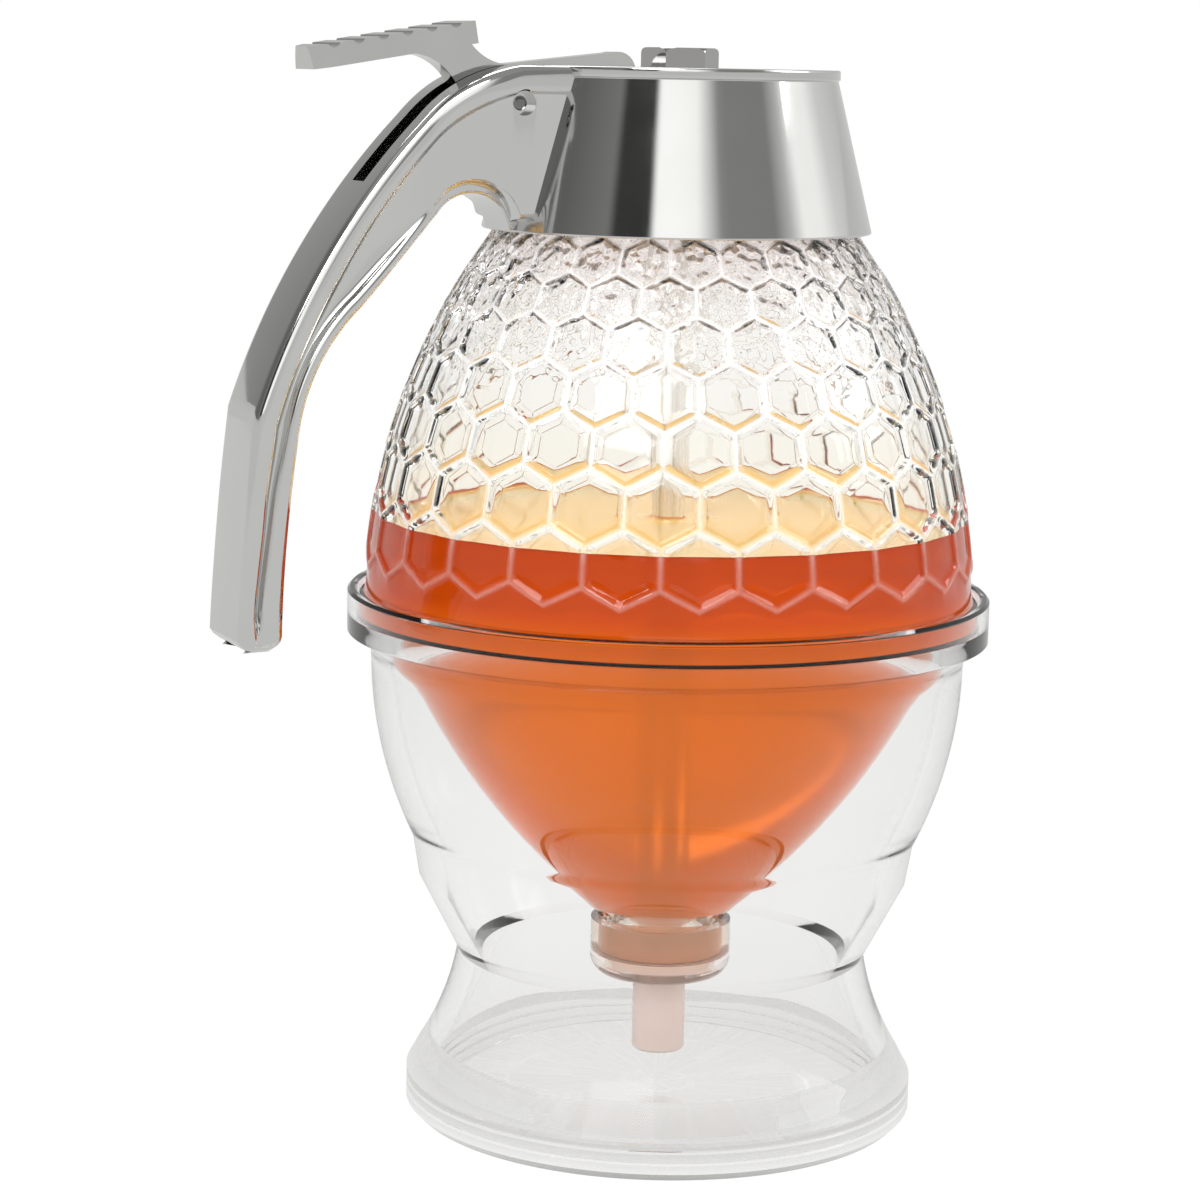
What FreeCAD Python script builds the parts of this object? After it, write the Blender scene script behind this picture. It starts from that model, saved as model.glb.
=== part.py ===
"""Honey dispenser: a clear jar that hangs in a clear stand, with a chrome cap, handle and trigger.

Millimetres.  +Z is up, the handle points along -X, and the origin is the middle of the stand's
underside.  Pressing the trigger's thumb rest lifts a plunger rod out of the nozzle, so that the
honey runs down through it.  Round pieces are outlines in the (radius, height) plane turned about Z.
"""
import FreeCAD
import Part
import math
import os

V = FreeCAD.Vector

# ---- Driving sizes ---------------------------------------------------------------------------

# Overall sizes
RIM_R = 42.5             # widest part: the rim of the stand
SEAT_Z = 67.4            # height of the shelf that the jar's flange rests on
DOME_H = 50.6            # from that shelf to the lower edge of the cap
CAP_H = 20.9             # lower edge of the cap to its flat top
HANDLE_REACH = 61.9      # axis to the outermost edge of the handle
HANDLE_DROP = 73.0       # cap top to the handle's lower end

# Stand: foot, waist, band, bowl and rim
STAND_WALL = 3.0
FLOOR_T = 3.2
FOOT_R = 34.1
FOOT_H = 6.3
FOOT_CHAMFER = 1.1
FOOT_STEP = 1.3
FOOT_WELL_R = 27.6
FOOT_SWEEP = 37.0        # radius of the hollow curve from the foot to the waist
WAIST_R = 27.4
WAIST_Z = 21.7
BAND_R = 32.7
BAND_Z = 32.1
BAND_H = 5.3
BAND_FLARE = 0.9
BOWL_SWEEP = 55.0        # radius of the bulging curve from the band to the rim
RIM_OVERHANG = 3.2       # rim beyond the bowl
RIM_H = 5.9
RIM_FILLET = 2.4
LIP_H = 3.3              # lip above the shelf
LIP_T = 1.2
SHELF_W = 3.7
SHELF_DRAFT = 1.36          # bowl's inside one wall below the shelf, in from the shelf's edge

# Jar: flange, honeycomb dome, neck under the cap, funnel and outlet
JAR_WALL = 2.4
FLANGE_H = 2.5
FLANGE_W = 0.55          # flange beyond the foot of the dome
DOME_SWEEP = 83.3
DOME_TOP_GAP = 0.3       # dome to the cap's lower edge
NECK_R = 19.0
FUNNEL_SWEEP = 87.6
FUNNEL_FILLET = 2.6
OUTLET_R = 8.4
OUTLET_BORE_R = 5.4
OUTLET_LIP_R = 7.5
OUTLET_TOP = 40.5        # below the shelf: where the outlet steps in to enter the collar
OUTLET_END = 45.6        # below the shelf: lower end of the outlet

# Honeycomb relief
CELLS_AROUND = 26
CELL_ROWS = 7
CELL_ROW_RATIO = 0.765   # row pitch over cell width
FIRST_ROW = 11.6         # above the shelf: middle of the lowest row
CELL_DISH = 0.55         # depth of a cell's middle below its corners

# Honey
HONEY_DEPTH = 12.5       # level above the shelf
ROD_CLEARANCE = 0.3      # honey round the rod

# Outlet collar and nozzle
COLLAR_R = 9.4
COLLAR_BOTTOM_R = 7.6
COLLAR_H = 7.4
COLLAR_BEVEL = 2.6
COLLAR_PLATE = 1.5
NOZZLE_R = 3.55
NOZZLE_BORE_R = 1.8
NOZZLE_GAP = 4.2         # nozzle end above the stand's floor
NOZZLE_FLANGE_R = 6.9
NOZZLE_EDGE = 0.35

# Plunger
ROD_R = 2.4
ROD_FIT = 0.08           # rod in the cap
TIP_LENGTH = 3.0
TIP_R = 0.9
SEAT_FIT = 0.1           # tip in the nozzle's mouth when shut
KNOB_R = 5.1             # across the corners of the six sides
KNOB_H = 2.7
KNOB_TURN = 42.7         # degrees from +X to one corner
KNOB_EDGE = 0.7
KNOB_SOCKET = 1.6

# Cap
CAP_FOOT_R = 25.5
CAP_TOP_R = 20.6
CAP_WALL = 1.6
CAP_PLATE = 4.0
CAP_BAND_H = 1.3
CAP_BAND_OUT = 0.25
GROOVE_DEPTH = 2.6
SPANNER_WELL_R = 6.9

# Handle, (x, z) measured from the axis and from the cap top
HANDLE_HALF_W = 6.2      # half width of both flanges
SPINE_FLARE = 2.4        # outer flange: extra half width where it meets the cap
ARCH_TAPER = 1.6         # inner flange: half width lost towards the cap
KNEE_X = -40.0           # flares start here
ROOT_X = -19.0           # and end here, at the cap's cone
POCKET_DEPTH = 1.2       # side pockets, between the flanges
POCKET_FADE = 0.6        # pocket depth where the cheeks meet the cap
SPINE_T = 3.0
TAIL_SPINE_T = 1.9
ARCH_T = 1.3
TAIL_INNER_T = 2.9
SPINE_ROUND = 1.6        # rounding of the spine's long edges

# Trigger, its pin and its slot
PIN_X = -25.2
PIN_DROP = 4.7           # pin below the cap top
PIN_R = 1.45
PIN_FIT = 0.06           # hub on the pin
PIN_RECESS = 0.8
HUB_R = 2.75
PLATE_T = 3.4
SLOT_FIT = 0.3           # each side of the trigger's plate
SLOT_FOOT_X = -44.0
SLOT_DEPTH = 4.6
HUB_FIT = 0.45           # slot wall round the hub
REST_W = 9.8
REST_L = 21.4
REST_T = 2.8
REST_CORNER = 3.3        # round corners of its outer end, seen from above
REST_SLOPE = 9.6         # degrees
REST_END_X = -51.9
REST_END_RISE = 1.75     # top of the thumb rest's outer end, above the cap top
REST_GROOVES = 6
REST_GROOVE_R = 0.75
ARM_RISE = 1.75          # highest point of the front arm above the cap top
ARM_END_X = -7.2
SPANNER_R = 4.6
SPANNER_T = 1.8
SPANNER_FIT = 0.35       # spanner end round the rod, and under the knob
FLOOR_FIT = 0.3          # arm above the groove's floor

# ---- Values that follow ----------------------------------------------------------------------

RIM_TOP = SEAT_Z + LIP_H
RIM_BOTTOM = RIM_TOP - RIM_H
BOWL_R = RIM_R - RIM_OVERHANG
BOWL_TOP = RIM_BOTTOM - RIM_FILLET
LIP_R = RIM_R - LIP_T
SHELF_R = LIP_R - SHELF_W

JAR_FLANGE_R = LIP_R - DOME_TOP_GAP
DOME_R = JAR_FLANGE_R - FLANGE_W
FLANGE_TOP = SEAT_Z + FLANGE_H
CAP_Z = SEAT_Z + DOME_H
CAP_TOP = CAP_Z + CAP_H
CAP_MOUTH_R = CAP_FOOT_R - CAP_WALL
PLATE_Z = CAP_TOP - CAP_PLATE
FUNNEL_TOP_R = SHELF_R - DOME_TOP_GAP
FUNNEL_END_Z = SEAT_Z - OUTLET_TOP + FUNNEL_FILLET
OUTLET_STEP_Z = SEAT_Z - OUTLET_TOP
OUTLET_END_Z = SEAT_Z - OUTLET_END
HONEY_Z = SEAT_Z + HONEY_DEPTH

COLLAR_TOP = OUTLET_STEP_Z - DOME_TOP_GAP
COLLAR_BOTTOM = COLLAR_TOP - COLLAR_H
NOZZLE_TOP = OUTLET_END_Z
NOZZLE_FLANGE_Z = COLLAR_BOTTOM + COLLAR_PLATE
NOZZLE_END = FLOOR_T + NOZZLE_GAP

GROOVE_Z = CAP_TOP - GROOVE_DEPTH
SPANNER_Z = GROOVE_Z + FLOOR_FIT
SPANNER_TOP = SPANNER_Z + SPANNER_T
KNOB_Z = SPANNER_TOP + SPANNER_FIT
KNOB_TOP = KNOB_Z + KNOB_H
TIP_Z = NOZZLE_TOP - TIP_LENGTH * (NOZZLE_BORE_R - TIP_R) / (ROD_R - TIP_R) + SEAT_FIT
SLOT_W = PLATE_T + 2 * SLOT_FIT
PIN_Z = CAP_TOP - PIN_DROP
HANDLE_END_Z = CAP_TOP - HANDLE_DROP


# ---- Outlines --------------------------------------------------------------------------------

class Sweep:
    """A round stretch between two (radius, height) points; it bulges away from the axis,
    or towards it when hollow."""

    def __init__(self, low, high, radius, hollow=False):
        self.side = -1 if hollow else 1
        self.radius = radius
        dr = high[0] - low[0]
        dz = high[1] - low[1]
        chord = math.hypot(dr, dz)
        back = math.sqrt(radius ** 2 - chord ** 2 / 4)
        self.r = (low[0] + high[0]) / 2 - self.side * back * dz / chord
        self.z = (low[1] + high[1]) / 2 + self.side * back * dr / chord

    def at(self, z, skin=0.0):
        """Distance from the axis at height z, measured this deep under the curve."""
        reach = self.radius - self.side * skin
        return self.r + self.side * math.sqrt(reach ** 2 - (z - self.z) ** 2)

    def height(self, r, skin=0.0):
        """Upper height at which the curve, this deep under, is r from the axis."""
        reach = self.radius - self.side * skin
        return self.z + math.sqrt(reach ** 2 - (r - self.r) ** 2)

    def depth(self, r, skin=0.0):
        """Lower height at which the curve, this deep under, is r from the axis."""
        reach = self.radius - self.side * skin
        return self.z - math.sqrt(reach ** 2 - (r - self.r) ** 2)

    def arc(self, z_from, z_to, skin=0.0):
        """Step of an outline: an arc from one height to the other."""
        z_mid = (z_from + z_to) / 2
        return (self.at(z_mid, skin), z_mid), (self.at(z_to, skin), z_to)


def flat_face(path, place):
    """Face inside a closed path.  Each step is a point, or a (middle, end) pair for an arc;
    place turns its two numbers into a point in space."""
    edges = []
    here = path[0]
    for step in path[1:] + [path[0]]:
        if isinstance(step[0], tuple):
            middle, end = step
            edges.append(Part.Arc(place(*here), place(*middle), place(*end)).toShape())
        else:
            end = step
            edges.append(Part.makeLine(place(*here), place(*end)))
        here = end
    return Part.Face(Part.Wire(edges))


def turned(path):
    """Solid of revolution of a (radius, height) outline."""
    face = flat_face(path, lambda r, z: V(r, 0, z))
    return face.revolve(V(0, 0, 0), V(0, 0, 1), 360)


def slab(path, half_width):
    """Solid of an (x, z) outline, this far to both sides of the XZ plane."""
    face = flat_face(path, lambda x, z: V(x, -half_width, z))
    return face.extrude(V(0, 2 * half_width, 0))


def post(radius, z_from, z_to, x=0.0):
    return Part.makeCylinder(radius, z_to - z_from, V(x, 0, z_from))


def crossbar(radius, half_length, x, z):
    """Cylinder along Y."""
    return Part.makeCylinder(radius, 2 * half_length, V(x, -half_length, z), V(0, 1, 0))


def single(shape):
    """The one solid of a shape, cleaned of seams that splitting left."""
    return shape.removeSplitter().Solids[0]


# ---- Stand -----------------------------------------------------------------------------------

def make_stand():
    """Foot ring, waist, band, bowl and rim in one clear piece; the rim's shelf carries the jar."""
    foot = Sweep((FOOT_R - FOOT_STEP, FOOT_H + FOOT_STEP), (WAIST_R, WAIST_Z), FOOT_SWEEP, hollow=True)
    band_top = BAND_Z + BAND_H
    bowl = Sweep((BAND_R + BAND_FLARE, band_top), (BOWL_R, BOWL_TOP), BOWL_SWEEP)
    fillet_mid = RIM_FILLET * (1 - math.cos(math.pi / 4))
    inner_top = SEAT_Z - STAND_WALL
    well_low = (bowl.at(band_top, STAND_WALL), band_top)
    well = Sweep(well_low, (SHELF_R - SHELF_DRAFT, inner_top), BOWL_SWEEP - STAND_WALL)
    path = [
        (0, 0),
        (FOOT_R - FOOT_CHAMFER, 0),
        (FOOT_R, FOOT_CHAMFER),
        (FOOT_R, FOOT_H - FOOT_CHAMFER),
        (FOOT_R - FOOT_STEP / 2, FOOT_H),
        (FOOT_R - FOOT_STEP, FOOT_H + FOOT_STEP),
        foot.arc(FOOT_H + FOOT_STEP, WAIST_Z),
        (BAND_R, BAND_Z),
        (BAND_R + BAND_FLARE, band_top),
        bowl.arc(band_top, BOWL_TOP),
        ((BOWL_R + fillet_mid, RIM_BOTTOM - fillet_mid), (BOWL_R + RIM_FILLET, RIM_BOTTOM)),
        (RIM_R, RIM_BOTTOM),
        (RIM_R, RIM_TOP),
        (LIP_R, RIM_TOP),
        (LIP_R, SEAT_Z),
        (SHELF_R, SEAT_Z),
        (well.at(inner_top), inner_top),
        well.arc(inner_top, band_top),
        (BAND_R - STAND_WALL, BAND_Z),
        (WAIST_R - STAND_WALL, WAIST_Z),
        foot.arc(WAIST_Z, foot.z - (foot.z - FOOT_H) / 1.6, STAND_WALL),
        (FOOT_WELL_R, FLOOR_T),
        (0, FLOOR_T),
    ]
    return turned(path)


# ---- Jar -------------------------------------------------------------------------------------

DOME = Sweep((DOME_R, FLANGE_TOP), (CAP_MOUTH_R - DOME_TOP_GAP / 2, CAP_Z), DOME_SWEEP)
FUNNEL = Sweep((OUTLET_R + FUNNEL_FILLET, FUNNEL_END_Z), (FUNNEL_TOP_R, SEAT_Z), FUNNEL_SWEEP)
NECK_Z = DOME.height(NECK_R)


def jar_inside(top):
    """(radius, height) outline of the space inside the jar, from the outlet up to a height."""
    bore_z = FUNNEL.depth(OUTLET_BORE_R, JAR_WALL)
    waist_z = FLANGE_TOP
    path = [
        (0, OUTLET_END_Z),
        (OUTLET_BORE_R, OUTLET_END_Z),
        (OUTLET_BORE_R, bore_z),
        FUNNEL.arc(bore_z, SEAT_Z, JAR_WALL),
        (DOME.at(waist_z, JAR_WALL), waist_z),
    ]
    if top <= waist_z:
        raise ValueError("the jar's inside is only drawn to heights above its flange")
    bend = min(top, DOME.height(NECK_R - JAR_WALL, JAR_WALL))
    path.append(DOME.arc(waist_z, bend, JAR_WALL))
    if top > bend:
        path.append((NECK_R - JAR_WALL, top))
    path.append((0, top))
    return path


def make_jar_blank():
    """Outer form of the jar without its honeycomb."""
    fillet_mid = FUNNEL_FILLET * (1 - math.cos(math.pi / 4))
    throat_mid = (OUTLET_R + fillet_mid, FUNNEL_END_Z - fillet_mid)
    path = [
        (0, OUTLET_END_Z),
        (OUTLET_LIP_R, OUTLET_END_Z),
        (OUTLET_LIP_R, OUTLET_STEP_Z),
        (OUTLET_R, OUTLET_STEP_Z),
        (throat_mid, (OUTLET_R + FUNNEL_FILLET, FUNNEL_END_Z)),
        FUNNEL.arc(FUNNEL_END_Z, SEAT_Z),
        (JAR_FLANGE_R, SEAT_Z),
        (JAR_FLANGE_R, FLANGE_TOP),
        (DOME_R, FLANGE_TOP),
        DOME.arc(FLANGE_TOP, NECK_Z),
        (NECK_R, PLATE_Z),
        (0, PLATE_Z),
    ]
    return turned(path)


def cell_row_heights():
    """Heights of the rows' middles.  Each row is as far up the dome as its cells are wide."""
    heights = [SEAT_Z + FIRST_ROW]
    while len(heights) < CELL_ROWS:
        z = heights[-1]
        width = 2 * math.pi * DOME.at(z) / CELLS_AROUND
        steepness = math.sqrt(1 - ((z - DOME.z) / DOME.radius) ** 2)
        heights.append(z + CELL_ROW_RATIO * width * steepness)
    return heights


def zigzag(low_row, high_row, phase):
    """Corners between two rows: peaks over the lower row's cells, dips under the upper row's."""
    gap = high_row - low_row
    ring = []
    for i in range(2 * CELLS_AROUND):
        angle = math.pi * (i + phase) / CELLS_AROUND
        z = low_row + gap * (2 if i % 2 == 0 else 1) / 3
        r = DOME.at(z)
        ring.append(V(r * math.cos(angle), r * math.sin(angle), z))
    return ring


def plain_ring(radius, z, phase):
    angles = [math.pi * (i + phase) / CELLS_AROUND for i in range(2 * CELLS_AROUND)]
    return [V(radius * math.cos(a), radius * math.sin(a), z) for a in angles]


def triangle(a, b, c):
    return Part.Face(Part.makePolygon([a, b, c, a]))


def strip(lower, upper):
    """Triangles between two rings of corners."""
    faces = []
    count = len(lower)
    for i in range(count):
        j = (i + 1) % count
        faces.append(triangle(lower[i], lower[j], upper[i]))
        faces.append(triangle(lower[j], upper[j], upper[i]))
    return faces


def cell_corners(below, above, peak, row_parity):
    """Six corners, in order, of the cell whose top is this peak of the ring above it."""
    count = 2 * CELLS_AROUND
    dip = peak + (1 if row_parity else -1)
    low = [below[(dip + step) % count] for step in (-1, 0, 1)]
    high = [above[(peak + step) % count] for step in (1, 0, -1)]
    return low + high


def cell(corners):
    """Six triangles that dip from a cell's corners to its middle."""
    middle = V(0, 0, 0)
    for corner in corners:
        middle = middle + corner
    middle = middle * (1 / len(corners))
    outward = V(middle.x, middle.y, 0).normalize()
    sink = CELL_DISH - (DOME.at(middle.z) - math.hypot(middle.x, middle.y))
    middle = middle - outward * max(sink, 0)
    following = corners[1:] + corners[:1]
    return [triangle(a, b, middle) for a, b in zip(corners, following)]


def make_honeycomb():
    """Closed faceted barrel whose side is rows of dished six-sided cells."""
    rows = cell_row_heights()
    first_gap = rows[1] - rows[0]
    last_gap = rows[-1] - rows[-2]
    levels = [rows[0] - first_gap] + rows + [rows[-1] + last_gap]
    rings = []
    for k in range(len(levels) - 1):
        rings.append(zigzag(levels[k], levels[k + 1], (k + 1) % 2))
    faces = []
    for k in range(CELL_ROWS):
        for i in range(0, 2 * CELLS_AROUND, 2):
            faces += cell(cell_corners(rings[k], rings[k + 1], i, k % 2))
    foot_z = levels[0] - first_gap / 8
    crown_z = levels[-1]
    foot = plain_ring(DOME.at(foot_z) - CELL_DISH / 4, foot_z, 1)
    crown = plain_ring(DOME.at(crown_z) - CELL_DISH / 4, crown_z, (CELL_ROWS + 1) % 2)
    faces += strip(foot, rings[0])
    faces += strip(rings[-1], crown)
    faces.append(Part.Face(Part.makePolygon(foot + foot[:1])))
    faces.append(Part.Face(Part.makePolygon(crown + crown[:1])))
    shell = Part.Shell(faces)
    shell.sewShape()
    barrel = Part.Solid(shell)
    if barrel.Volume < 0:
        barrel.reverse()
    return barrel, foot_z, crown_z


def make_jar():
    """Clear jar: honeycomb dome and neck above its flange, funnel and outlet below."""
    barrel, foot_z, crown_z = make_honeycomb()
    blank = make_jar_blank()
    wide = 2 * RIM_R
    sleeve = post(wide, foot_z, crown_z)
    blank = blank.cut(sleeve)
    jar = blank.fuse(barrel)
    return single(jar.cut(turned(jar_inside(PLATE_Z + JAR_WALL))))


def make_honey():
    """Honey up to its level, with the plunger's way left open down to the nozzle."""
    honey = turned(jar_inside(HONEY_Z))
    return honey.cut(post(ROD_R + ROD_CLEARANCE, OUTLET_END_Z - 1, HONEY_Z + 1))


# ---- Outlet ----------------------------------------------------------------------------------

def make_collar():
    """Clear nut that holds the nozzle up against the jar's outlet."""
    bevel_z = COLLAR_BOTTOM + COLLAR_BEVEL
    bevel_mid = (COLLAR_R - (COLLAR_R - COLLAR_BOTTOM_R) / 4, COLLAR_BOTTOM + COLLAR_BEVEL / 3)
    thread_r = OUTLET_LIP_R
    path = [
        (NOZZLE_R, COLLAR_BOTTOM),
        (COLLAR_BOTTOM_R, COLLAR_BOTTOM),
        (bevel_mid, (COLLAR_R, bevel_z)),
        (COLLAR_R, COLLAR_TOP),
        (thread_r, COLLAR_TOP),
        (thread_r, NOZZLE_FLANGE_Z),
        (NOZZLE_R, NOZZLE_FLANGE_Z),
    ]
    return turned(path)


def make_nozzle():
    """Soft tube whose flange is trapped between the outlet and the collar."""
    path = [
        (NOZZLE_BORE_R, NOZZLE_END),
        (NOZZLE_R - NOZZLE_EDGE, NOZZLE_END),
        (NOZZLE_R, NOZZLE_END + NOZZLE_EDGE),
        (NOZZLE_R, NOZZLE_FLANGE_Z),
        (NOZZLE_FLANGE_R, NOZZLE_FLANGE_Z),
        (NOZZLE_FLANGE_R, NOZZLE_TOP),
        (NOZZLE_BORE_R, NOZZLE_TOP),
    ]
    return turned(path)


# ---- Plunger ---------------------------------------------------------------------------------

def make_rod():
    """Rod from its seat in the nozzle's mouth up into the knob."""
    path = [
        (0, TIP_Z),
        (TIP_R, TIP_Z),
        (ROD_R, TIP_Z + TIP_LENGTH),
        (ROD_R, KNOB_Z + KNOB_SOCKET),
        (0, KNOB_Z + KNOB_SOCKET),
    ]
    return turned(path)


def make_knob():
    """Low six-sided nut with a rounded crown, on the rod's upper end."""
    corners = []
    for i in range(7):
        angle = math.radians(KNOB_TURN + 60 * i)
        corners.append(V(KNOB_R * math.cos(angle), KNOB_R * math.sin(angle), KNOB_Z))
    hexagon = Part.Face(Part.makePolygon(corners)).extrude(V(0, 0, KNOB_H))
    crown_r = KNOB_R - KNOB_EDGE
    crown = turned([
        (0, KNOB_Z),
        (KNOB_R, KNOB_Z),
        (KNOB_R, KNOB_TOP - KNOB_EDGE),
        ((crown_r + KNOB_EDGE * 0.7, KNOB_TOP - KNOB_EDGE * 0.3), (crown_r, KNOB_TOP)),
        (0, KNOB_TOP),
    ])
    knob = hexagon.common(crown)
    return knob.cut(post(ROD_R, KNOB_Z - 1, KNOB_Z + KNOB_SOCKET))


# ---- Cap with its handle ---------------------------------------------------------------------

def down(x, drop):
    """(x, z) of a point given by its x and how far it lies below the cap top."""
    return x, CAP_TOP - drop


def tail(inset, rise):
    """(x, z) of a point near the handle's lower end."""
    return inset - HANDLE_REACH, HANDLE_END_Z + rise


def handle_outline():
    """Side view of the handle, from inside the cap's cone round its spine, tail and arch."""
    return [
        down(-17.0, 0),
        down(-25.5, 0),
        (down(-31.6, 2.1), down(-37.3, 6.6)),
        (down(-50.9, 24.1), tail(2.3, 30.2)),
        (tail(0.9, 16.0), tail(0.0, 1.9)),
        tail(1.4, 0.7),
        (tail(3.6, 0.0), tail(5.3, 1.1)),
        tail(5.9, 2.2),
        (tail(6.4, 13.5), tail(7.5, 25.6)),
        (tail(10.6, 36.0), down(-46.9, 31.0)),
        down(-35.4, 18.2),
        (down(-30.6, 15.7), (-25.4, CAP_Z)),
        (-17.0, CAP_Z),
    ]


def pocket_outline():
    """Side view of the hollow between the handle's outer and inner flanges."""
    t = SPINE_T
    a = ARCH_T
    n = TAIL_SPINE_T
    m = TAIL_INNER_T
    return [
        down(-15.0, CAP_BAND_H),
        down(-24.4, CAP_BAND_H + 0.1),
        (down(-29.7, 3.9), down(-37.3 + 0.74 * t, 6.6 + 0.66 * t)),
        (down(-50.9 + 0.87 * t, 24.1 + 0.5 * t), tail(2.3 + t, 29.8)),
        (tail(1.0 + 0.8 * t, 16.0), tail(n + 0.1, 3.6)),
        (tail((n + 5.9 - m) / 2 + 0.1, 2.6), tail(6.0 - m, 3.6)),
        (tail(6.4 - 0.8 * m, 14.0), tail(7.4 - a, 25.4)),
        (tail(10.6 - a, 36.4), down(-46.9 - 0.73 * a, 31.0 - 0.68 * a)),
        down(-35.4 - 0.68 * a, 18.2 - 0.73 * a),
        (down(-30.4, 15.7 - a), (-24.6 + a, CAP_Z - 1)),
        (-15.0, CAP_Z - 1),
    ]


def band_outline():
    """Side view of the outer flange's upper stretch, from the spine's bend to the cap."""
    t = SPINE_T
    return [
        down(-17.0, 0),
        down(-25.5, 0),
        (down(-31.6, 2.1), down(-37.3, 6.6)),
        down(-37.3 + 0.74 * t, 6.6 + 0.66 * t),
        (down(-29.7, 3.9), down(-24.4, CAP_BAND_H + 0.1)),
        down(-17.0, CAP_BAND_H),
    ]


def plan_block(half_width, flare):
    """Block as high as the handle whose half width grows by flare from knee to root."""
    wide = half_width + flare
    low = HANDLE_END_Z - 5
    side = [(-HANDLE_REACH - 5, half_width), (KNEE_X, half_width), (ROOT_X, wide), (0, wide)]
    points = [V(x, y, low) for x, y in side] + [V(x, -y, low) for x, y in reversed(side)]
    return Part.Face(Part.makePolygon(points + points[:1])).extrude(V(0, 0, HANDLE_DROP + 10))


def cheek_half_width(x):
    """Half width of the web between the side pockets; it flares into the cheeks at the cap."""
    thin = HANDLE_HALF_W - POCKET_DEPTH
    wide = HANDLE_HALF_W + SPINE_FLARE - POCKET_FADE
    share = min(max((x - KNEE_X) / (ROOT_X - KNEE_X), 0), 1)
    return thin + share * (wide - thin)


def rounded_along(blade, outline_points, rounding):
    """The blade with its side edges rounded between neighbours among these outline points."""
    chosen = []
    for edge in blade.Edges:
        ends = [v.Point for v in edge.Vertexes]
        sides = {round(p.y, 3) for p in ends}
        near = [any(math.hypot(p.x - x, p.z - z) < 0.01 for x, z in outline_points) for p in ends]
        if len(ends) == 2 and len(sides) == 1 and all(near):
            chosen.append(edge)
    return blade.makeFillet(rounding, chosen)


def make_handle():
    """Curved I-section casting: outer and inner flanges, and a web that flares into cheeks."""
    reach = 2 * HANDLE_HALF_W
    blade = slab(handle_outline(), reach).common(plan_block(HANDLE_HALF_W, -ARCH_TAPER))
    spine = [down(-37.3, 6.6), tail(2.3, 30.2), tail(0.0, 1.9)]
    blade = rounded_along(blade, spine, SPINE_ROUND)
    thin = cheek_half_width(KNEE_X)
    web = plan_block(thin, cheek_half_width(ROOT_X) - thin)
    hollow = slab(pocket_outline(), reach)
    cheeks = hollow.common(web)
    band = slab(band_outline(), reach).common(plan_block(HANDLE_HALF_W, SPINE_FLARE))
    return blade.cut(hollow).fuse([cheeks, band])


def make_slot():
    """Room for the trigger: slot down the spine, way across the cap top, well under the knob."""
    slot = slab([
        down(SLOT_FOOT_X + 2.6, 22.0),
        down(SLOT_FOOT_X - 6.0, 15.0),
        down(SLOT_FOOT_X - 6.0, -3.0),
        down(PIN_X + HUB_R + HUB_FIT, -3.0),
        down(PIN_X + HUB_R + HUB_FIT, PIN_DROP + HUB_R + HUB_FIT),
        down(PIN_X - HUB_R, PIN_DROP + HUB_R + HUB_FIT),
        down(-37.3 + 0.78 * SLOT_DEPTH, 6.6 + 0.62 * SLOT_DEPTH),
    ], SLOT_W / 2)
    way = Part.makeBox(-PIN_X, SLOT_W, GROOVE_DEPTH + 1, V(PIN_X, -SLOT_W / 2, GROOVE_Z))
    well = post(SPANNER_WELL_R, GROOVE_Z, CAP_TOP + 1)
    return slot.fuse([way, well])


def make_cap():
    """Chrome cap and handle in one casting."""
    shoulder_z = CAP_TOP - CAP_BAND_H
    band_r = CAP_TOP_R + CAP_BAND_OUT
    slope = (CAP_FOOT_R - CAP_TOP_R) / (shoulder_z - CAP_Z)
    inner_top_r = CAP_MOUTH_R - slope * (PLATE_Z - CAP_Z)
    cone = turned([
        (0, CAP_Z),
        (CAP_FOOT_R, CAP_Z),
        (CAP_TOP_R, shoulder_z),
        (band_r, shoulder_z),
        (band_r, CAP_TOP - CAP_BAND_OUT),
        (band_r - CAP_BAND_OUT, CAP_TOP),
        (0, CAP_TOP),
    ])
    inside = turned([
        (0, CAP_Z - 1),
        (CAP_MOUTH_R + slope, CAP_Z - 1),
        (inner_top_r, PLATE_Z),
        (0, PLATE_Z),
    ])
    cap = cone.fuse(make_handle())
    cap = cap.cut(inside)
    cap = cap.cut(make_slot())
    cap = cap.cut(post(ROD_R + ROD_FIT, PLATE_Z - 1, CAP_TOP + 1))
    cap = cap.cut(crossbar(PIN_R, 2 * HANDLE_HALF_W, PIN_X, PIN_Z))
    return single(cap)


def make_pin():
    """Pin through both cheeks, its domed ends sunk a little below them."""
    half = cheek_half_width(PIN_X) - PIN_RECESS
    flat_r = PIN_R / 3
    crown = PIN_R / 2
    bulge_r = PIN_R * 0.8
    pin = turned([
        (0, -half),
        (flat_r, -half),
        ((bulge_r, crown * 0.35 - half), (PIN_R, crown - half)),
        (PIN_R, half - crown),
        ((bulge_r, half - crown * 0.35), (flat_r, half)),
        (0, half),
    ])
    pin.rotate(V(0, 0, 0), V(1, 0, 0), 90)
    pin.translate(V(PIN_X, 0, PIN_Z))
    return pin


# ---- Trigger ---------------------------------------------------------------------------------

def along_rest(distance, depth):
    """(x, z) of a point this far along the thumb rest and this deep under its top."""
    slope = math.radians(REST_SLOPE)
    x = REST_END_X + distance * math.cos(slope) + depth * math.sin(slope)
    z = CAP_TOP + REST_END_RISE + distance * math.sin(slope) - depth * math.cos(slope)
    return x, z


def stands_at(edge, x):
    """Whether a straight edge is upright and at this x."""
    a, b = [vertex.Point for vertex in edge.Vertexes]
    return abs(a.x - x) < 0.01 and abs(b.x - x) < 0.01 and abs(a.y - b.y) < 0.01


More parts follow.
